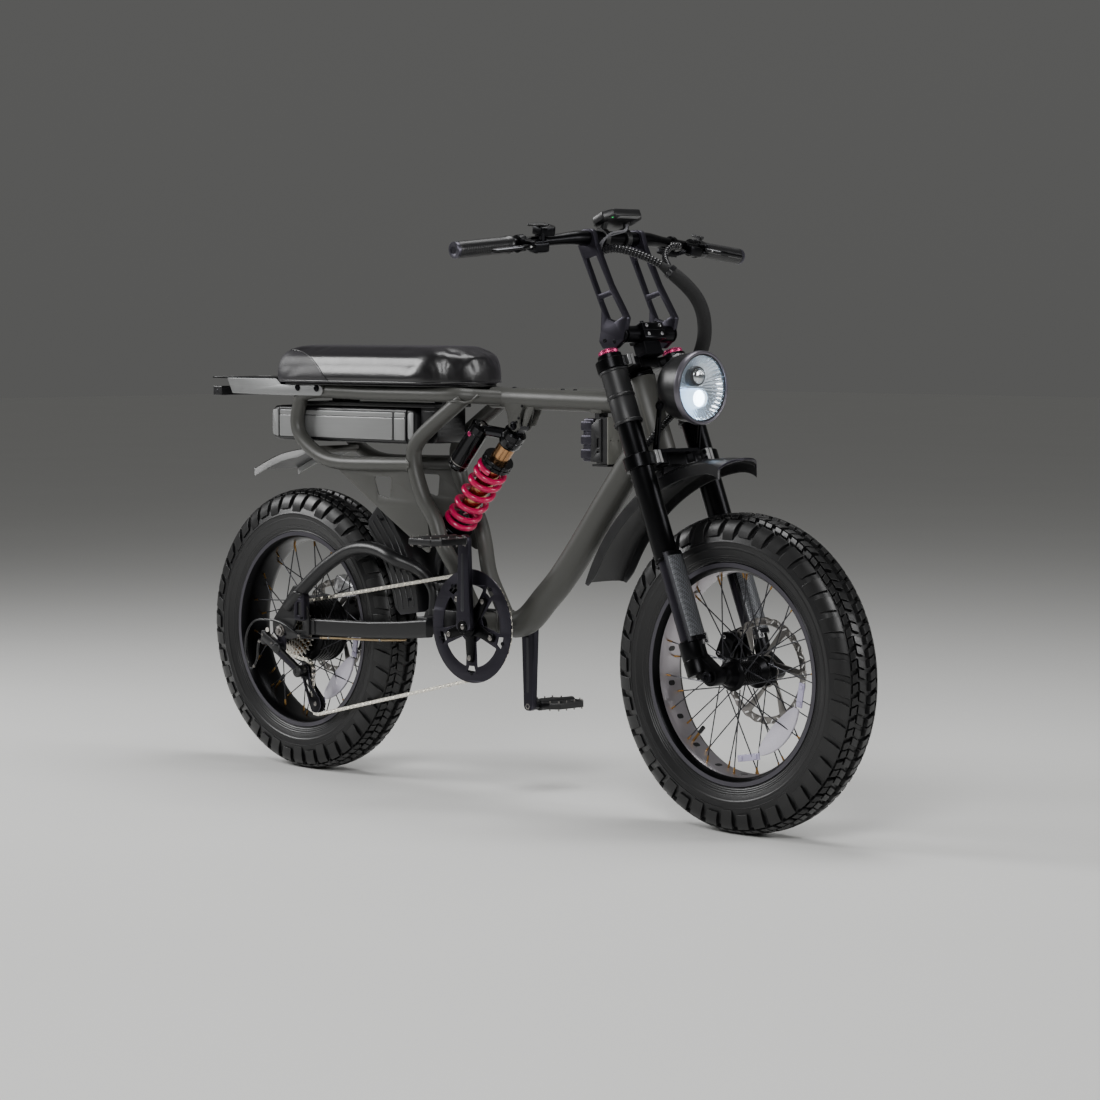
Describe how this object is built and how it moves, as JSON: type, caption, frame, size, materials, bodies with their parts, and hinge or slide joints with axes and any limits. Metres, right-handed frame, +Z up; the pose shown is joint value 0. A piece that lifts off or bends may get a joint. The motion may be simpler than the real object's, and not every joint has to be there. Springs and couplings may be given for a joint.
{
  "type": "electric bicycle",
  "caption": "Full-suspension electric bicycle with fat tyres, a long padded bench seat, a slide-in battery, disc brakes and a chain drive.",
  "frame": {"origin": "centre of the footprint on the ground", "axes": "+X forward, +Y to the rider's left, +Z up"},
  "size_m": [1.841, 0.7878, 1.1706],
  "materials": {
    "olive_paint": "matte powder coat",
    "black_paint": "satin powder coat",
    "black_metal": "satin black anodised",
    "grey_metal": "satin dark grey anodised",
    "pale_metal": "fine blasted, clear anodised",
    "steel": "brushed",
    "bronze": "satin",
    "pink_metal": "dyed anodised",
    "magenta_paint": "glossy coat on spring steel",
    "black_plastic": "moulded, lightly grained",
    "rubber": "moulded tread rubber",
    "vinyl": "satin coated vinyl",
    "clear": "clear",
    "red_lens": "glossy tinted"
  },
  "bodies": {
    "frame": {"main_frame": "olive_paint", "seat": "vinyl", "seat_pan": "black_plastic", "rear_plates": "pale_metal", "tail_light": "red_lens", "battery_dock": "black_plastic", "rear_flap": "pale_metal", "horn_unit": "grey_metal"},
    "battery": {"battery_pack": "pale_metal"},
    "steering": {"fork_crowns": "black_metal", "fork_upper_right": "black_metal", "fork_upper_left": "black_metal", "handlebar_riser": "grey_metal", "handlebar": "black_metal", "display": "black_plastic", "grip_right": "rubber", "grip_left": "rubber", "right_controls": "black_metal", "left_controls": "black_metal", "front_fender": "black_plastic", "loom_sleeve": "black_plastic"},
    "preload_knob": {"preload_knob": "pink_metal"},
    "lockout_knob": {"lockout_knob": "pink_metal"},
    "brake_lever_right": {"brake_lever_right": "grey_metal"},
    "brake_lever_left": {"brake_lever_left": "grey_metal"},
    "shift_lever": {"shift_lever": "black_plastic"},
    "thumb_throttle": {"thumb_throttle": "black_plastic"},
    "keypad_button": {"keypad_button": "rubber"},
    "headlight": {"headlight_shell": "black_metal", "headlight_lens": "clear"},
    "fork_lower": {"fork_lower_right": "black_metal", "fork_lower_left": "black_metal", "front_axle": "black_metal", "front_caliper": "black_metal"},
    "front_wheel": {"front_tyre": "rubber", "front_rim": "black_metal", "front_hub": "black_metal", "front_rotor": "steel"},
    "swingarm": {"swingarm": "black_paint", "rear_axle": "steel", "rear_caliper": "pale_metal", "inner_fender": "black_plastic", "derailleur_body": "black_metal", "chain": "steel", "rear_cable": "black_plastic"},
    "rear_wheel": {"rear_tyre": "rubber", "rear_rim": "black_metal", "hub_motor": "black_metal", "rear_rotor": "steel"},
    "cassette": {"cassette": "bronze"},
    "derailleur_cage": {"derailleur_cage": "grey_metal"},
    "guide_pulley": {"guide_pulley": "black_plastic"},
    "tension_pulley": {"tension_pulley": "black_plastic"},
    "crank": {"crank_arms": "black_metal", "chainring": "grey_metal"},
    "pedal_right": {"pedal_right": "black_metal"},
    "pedal_left": {"pedal_left": "black_metal"},
    "shock_upper": {"shock_body": "black_metal", "shock_spring": "magenta_paint"},
    "shock_lower": {"shock_shaft": "steel"}
  },
  "joints": [
    {"name": "steer", "type": "hinge", "parent": "frame", "child": "steering", "pos_m": [0.37708, 0, 0.77328], "axis": [-0.3746, 0, 0.9272], "range_deg": [-40, 40], "deforming": ["loom_sleeve"]},
    {"name": "fork_slide", "type": "slide", "parent": "steering", "child": "fork_lower", "axis": [-0.3746, 0, 0.9272], "range_m": [0, 0.08], "stiffness_N_per_m": 8000, "springref_m": -0.025},
    {"name": "front_wheel_spin", "type": "hinge", "parent": "fork_lower", "child": "front_wheel", "pos_m": [0.6205, 0, 0.3], "axis": [0, 1, 0], "continuous": true},
    {"name": "swing", "type": "hinge", "parent": "frame", "child": "swingarm", "pos_m": [-0.105, 0, 0.352], "axis": [0, 1, 0], "range_deg": [0, 5], "stiffness_Nm_per_rad": 7500, "springref_deg": -1.15, "deforming": ["chain"]},
    {"name": "rear_wheel_spin", "type": "hinge", "parent": "swingarm", "child": "rear_wheel", "pos_m": [-0.6205, 0, 0.3], "axis": [0, 1, 0], "continuous": true},
    {"name": "crank_spin", "type": "hinge", "parent": "frame", "child": "crank", "pos_m": [-0.0485, 0, 0.3475], "axis": [0, 1, 0], "continuous": true},
    {"name": "cassette_spin", "type": "hinge", "parent": "swingarm", "child": "cassette", "pos_m": [-0.6205, 0, 0.3], "axis": [0, 1, 0], "continuous": true},
    {"name": "cage_tension", "type": "hinge", "parent": "swingarm", "child": "derailleur_cage", "pos_m": [-0.5855, -0.052, 0.215], "axis": [0, 1, 0], "range_deg": [-8, 12], "stiffness_Nm_per_rad": 4, "deforming": ["chain"]},
    {"name": "guide_pulley_spin", "type": "hinge", "parent": "derailleur_cage", "child": "guide_pulley", "pos_m": [-0.5855, -0.052, 0.215], "axis": [0, 1, 0], "continuous": true},
    {"name": "tension_pulley_spin", "type": "hinge", "parent": "derailleur_cage", "child": "tension_pulley", "pos_m": [-0.5485, -0.052, 0.147], "axis": [0, 1, 0], "continuous": true},
    {"name": "pedal_right_spin", "type": "hinge", "parent": "crank", "child": "pedal_right", "pos_m": [-0.0485, -0.163, 0.5225], "axis": [0, 1, 0], "continuous": true},
    {"name": "pedal_left_spin", "type": "hinge", "parent": "crank", "child": "pedal_left", "pos_m": [-0.0485, 0.163, 0.1725], "axis": [0, 1, 0], "continuous": true},
    {"name": "shock_tilt", "type": "hinge", "parent": "frame", "child": "shock_upper", "pos_m": [0.0165, 0, 0.748], "axis": [0, 1, 0], "range_deg": [-1.35, 0]},
    {"name": "shock_slide", "type": "slide", "parent": "shock_upper", "child": "shock_lower", "axis": [0.6658, 0, 0.7462], "range_m": [0, 0.01623], "deforming": ["shock_spring"]},
    {"name": "battery_release", "type": "slide", "parent": "frame", "child": "battery", "axis": [-1, 0, 0], "range_m": [0, 0.4]},
    {"name": "brake_pull_right", "type": "hinge", "parent": "steering", "child": "brake_lever_right", "pos_m": [0.29615, -0.23883, 1.09601], "axis": [-0.2168, 0.1126, -0.9697], "range_deg": [0, 15], "stiffness_Nm_per_rad": 1.2, "springref_deg": -8.59},
    {"name": "brake_pull_left", "type": "hinge", "parent": "steering", "child": "brake_lever_left", "pos_m": [0.29615, 0.23883, 1.09601], "axis": [0.2168, 0.1126, 0.9697], "range_deg": [0, 15], "stiffness_Nm_per_rad": 1.2, "springref_deg": -8.59},
    {"name": "shift_click", "type": "hinge", "parent": "steering", "child": "shift_lever", "pos_m": [0.28308, -0.19057, 1.136], "axis": [0.2168, -0.1126, 0.9697], "range_deg": [0, 12], "stiffness_Nm_per_rad": 0.4, "springref_deg": -8.59},
    {"name": "throttle_push", "type": "hinge", "parent": "steering", "child": "thumb_throttle", "pos_m": [0.25984, 0.2515, 1.09854], "axis": [-0.0913, 0.9913, -0.0947], "range_deg": [0, 35], "stiffness_Nm_per_rad": 0.3, "springref_deg": -11.46},
    {"name": "keypad_press", "type": "slide", "parent": "steering", "child": "keypad_button", "axis": [0.2168, 0.1126, 0.9697], "range_m": [0, 0.001], "stiffness_N_per_m": 1500, "springref_m": -0.0005},
    {"name": "preload_turn", "type": "hinge", "parent": "steering", "child": "preload_knob", "pos_m": [0.35142, -0.088, 0.89018], "axis": [-0.3746, 0, 0.9272], "range_deg": [-150, 150]},
    {"name": "lockout_turn", "type": "hinge", "parent": "steering", "child": "lockout_knob", "pos_m": [0.35142, 0.088, 0.89018], "axis": [-0.3746, 0, 0.9272], "range_deg": [-45, 45]},
    {"name": "headlight_tilt", "type": "hinge", "parent": "steering", "child": "headlight", "pos_m": [0.45347, 0, 0.796], "axis": [0, 1, 0], "range_deg": [-10, 10]}
  ],
  "couplings": [
    {"joint": "cassette_spin", "follows": "crank_spin", "ratio": 1.8571},
    {"joint": "guide_pulley_spin", "follows": "crank_spin", "ratio": -4.7273},
    {"joint": "tension_pulley_spin", "follows": "crank_spin", "ratio": 4.7273},
    {"joint": "shock_tilt", "follows": "swing", "ratio": -0.2462},
    {"joint": "shock_slide", "follows": "swing", "m_per_rad": 0.16913}
  ]
}
